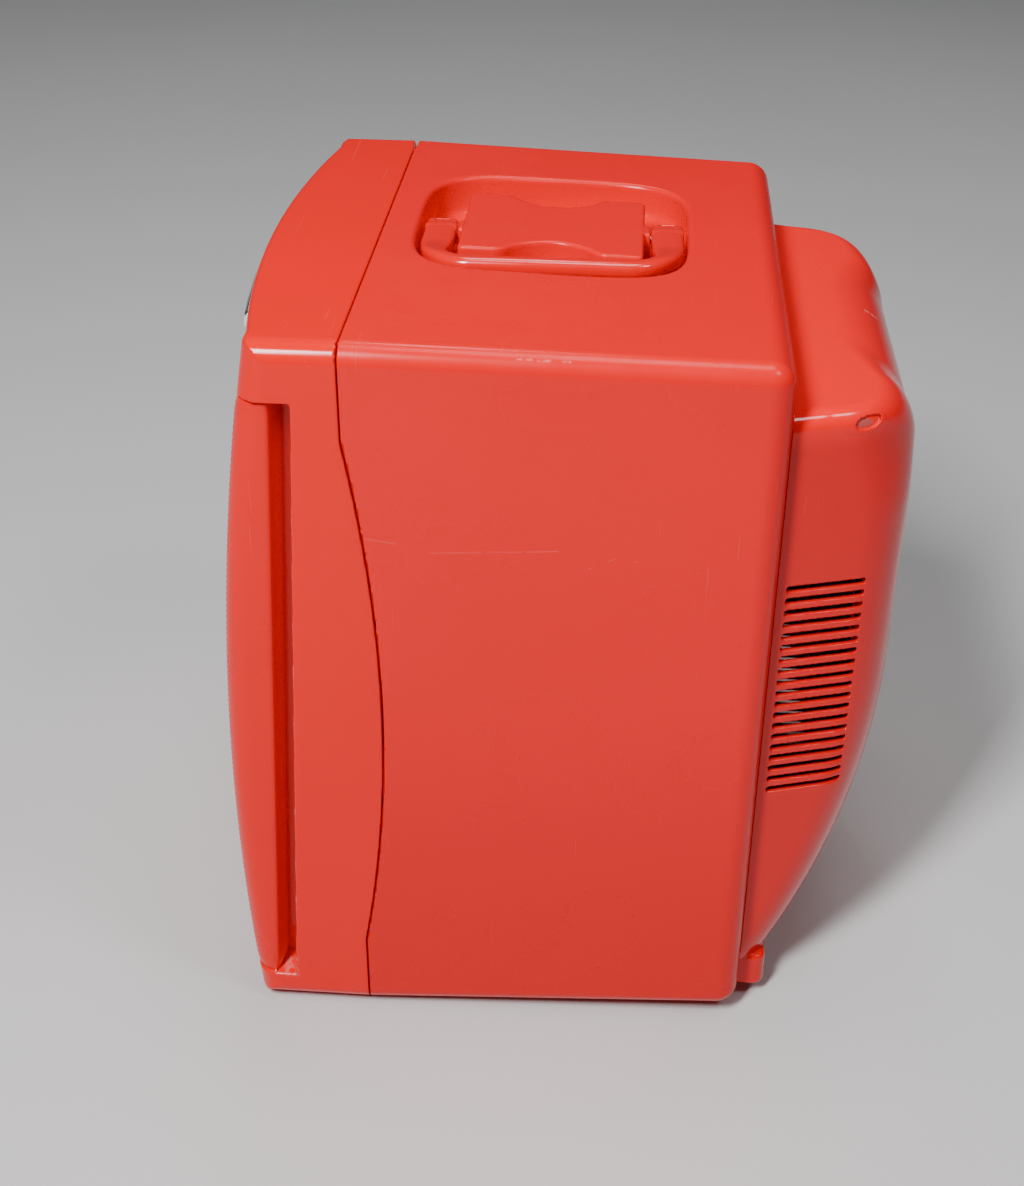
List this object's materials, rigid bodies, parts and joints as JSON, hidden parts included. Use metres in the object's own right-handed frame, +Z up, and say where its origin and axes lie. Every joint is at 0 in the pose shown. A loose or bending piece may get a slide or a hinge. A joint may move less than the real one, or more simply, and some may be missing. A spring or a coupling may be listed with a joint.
{
  "type": "portable thermoelectric cooler fridge",
  "caption": "Portable box-shaped cooler fridge with a bowed hinged door, side grip grooves, a folding carry handle in its top and a vented fan housing behind.",
  "frame": {"origin": "on the floor, at the middle of the footprint", "axes": "+Z up, front (door) towards -Y, the user's right towards +X"},
  "size_m": [0.3052, 0.35, 0.403],
  "materials": {
    "red_gloss": "glossy injection-moulded red",
    "red_textured": "glossy red with a fine ribbed border",
    "plug_red": "dull pinkish red",
    "white_plastic": "semi-gloss off-white",
    "white_wire": "white coated wire",
    "foam": "open-skinned rigid foam",
    "seal": "soft matte grey",
    "rubber": "matte black",
    "black_plastic": "fine-grained black",
    "aluminium": "mill finish",
    "steel": "zinc plated",
    "chrome": "bright plated",
    "ceramic": "fired white ceramic",
    "circuit_board": "solder resist green",
    "winding_tape": "yellow polyester tape",
    "green_lens": "clear tinted",
    "red_lens": "clear tinted",
    "red_wire": "flexible insulation"
  },
  "bodies": {
    "cabinet": {"cabinet_shell": "red_gloss", "front_frame": "red_gloss", "cabinet_foam": "foam", "inner_liner": "white_plastic", "wire_shelf": "white_wire", "hinge_bracket_lower": "red_gloss", "hinge_pin_lower": "steel", "hinge_bracket_upper": "red_gloss", "hinge_pin_upper": "steel", "foot_front_left": "rubber", "foot_front_right": "rubber", "foot_rear_left": "rubber", "foot_rear_right": "rubber", "handle_pin_front": "steel", "handle_pin_rear": "steel", "rear_housing": "red_gloss", "rear_fan_guard": "red_gloss", "rear_fan_frame": "black_plastic", "hot_heatsink": "aluminium", "peltier_module": "ceramic", "cold_block": "aluminium", "cold_heatsink": "aluminium", "inner_fan_frame": "black_plastic", "inner_fan_cover": "white_plastic", "power_board": "circuit_board", "transformer": "winding_tape", "board_capacitor": "black_plastic", "housing_screw_upper_left": "steel", "housing_screw_upper_right": "steel", "housing_screw_lower_left": "steel", "housing_screw_lower_right": "steel", "screw_cap_left": "plug_red", "screw_cap_right": "plug_red", "socket_plate": "black_plastic", "ac_inlet": "black_plastic", "ac_pin_left": "steel", "ac_pin_right": "steel", "dc_inlet": "black_plastic", "switch_body": "black_plastic", "led_cold": "green_lens", "led_hot": "red_lens", "peltier_lead_red": "red_wire", "peltier_lead_black": "black_plastic"},
    "door": {"door_shell": "red_gloss", "front_panel": "red_textured", "door_foam": "foam", "door_liner": "white_plastic", "door_gasket": "seal", "door_rack_lower": "white_plastic", "door_rack_upper": "white_plastic", "header_badge": "chrome"},
    "handle": {"carry_handle": "red_gloss"},
    "hot_fan": {"rear_fan_rotor": "black_plastic"},
    "cold_fan": {"inner_fan_rotor": "black_plastic"},
    "rocker": {"mode_switch": "black_plastic"}
  },
  "joints": [
    {"name": "door_hinge", "type": "hinge", "parent": "cabinet", "child": "door", "pos_m": [-0.1452, -0.0665, 0.203], "axis": [0, 0, -1], "range_deg": [0, 105]},
    {"name": "handle_pivot", "type": "hinge", "parent": "cabinet", "child": "handle", "pos_m": [-0.02, -0.0074, 0.393], "axis": [0, -1, 0], "range_deg": [0, 180]},
    {"name": "hot_fan_spin", "type": "hinge", "parent": "cabinet", "child": "hot_fan", "pos_m": [0, 0.15, 0.212], "axis": [0, 1, 0], "continuous": true},
    {"name": "cold_fan_spin", "type": "hinge", "parent": "cabinet", "child": "cold_fan", "pos_m": [0, 0.0475, 0.212], "axis": [0, 1, 0], "continuous": true},
    {"name": "mode_switch_rock", "type": "hinge", "parent": "cabinet", "child": "rocker", "pos_m": [0.024, 0.1718, 0.309], "axis": [1, 0, 0], "range_deg": [-9, 9]}
  ]
}
